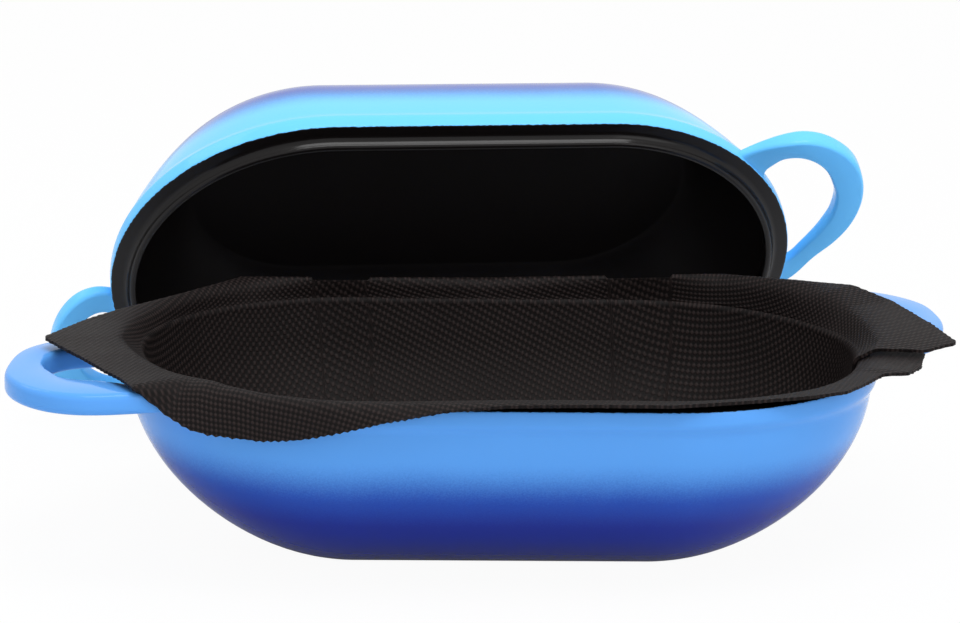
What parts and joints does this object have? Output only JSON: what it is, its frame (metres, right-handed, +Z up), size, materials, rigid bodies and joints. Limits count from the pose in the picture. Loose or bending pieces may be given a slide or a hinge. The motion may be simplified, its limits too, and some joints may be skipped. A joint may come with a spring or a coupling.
{
  "type": "loaf pan with lid",
  "caption": "Enamelled cast-iron loaf pan with rounded ends and corner loop handles, its domed lid stood open behind it, and a loose perforated silicone liner draped over the rim.",
  "frame": {"origin": "centre of the pan's flat foot, on the surface it stands on", "axes": "+X along the pan to its right-hand end, +Y from the pan's front to its back, +Z up"},
  "size_m": [0.3531, 0.3175, 0.1483],
  "materials": {
    "pan_enamel": "glossy enamel, sky blue at the rim running to navy at the foot, black satin inside",
    "lid_enamel": "glossy enamel, pale sky blue at the rim running to violet blue on top, black satin inside",
    "liner_silicone": "matt black silicone on a woven, perforated mesh"
  },
  "bodies": {
    "pan": {"base_pan": "pan_enamel"},
    "cover": {"lid": "lid_enamel"},
    "liner": {"silicone_liner": "liner_silicone"}
  },
  "joints": [
    {"name": "lid_lift", "type": "slide", "parent": "pan", "child": "cover", "axis": [0, 0, 1], "range_m": [0, 0.2]},
    {"name": "liner_lift", "type": "slide", "parent": "pan", "child": "liner", "axis": [0, 0, 1], "range_m": [0, 0.16]}
  ]
}
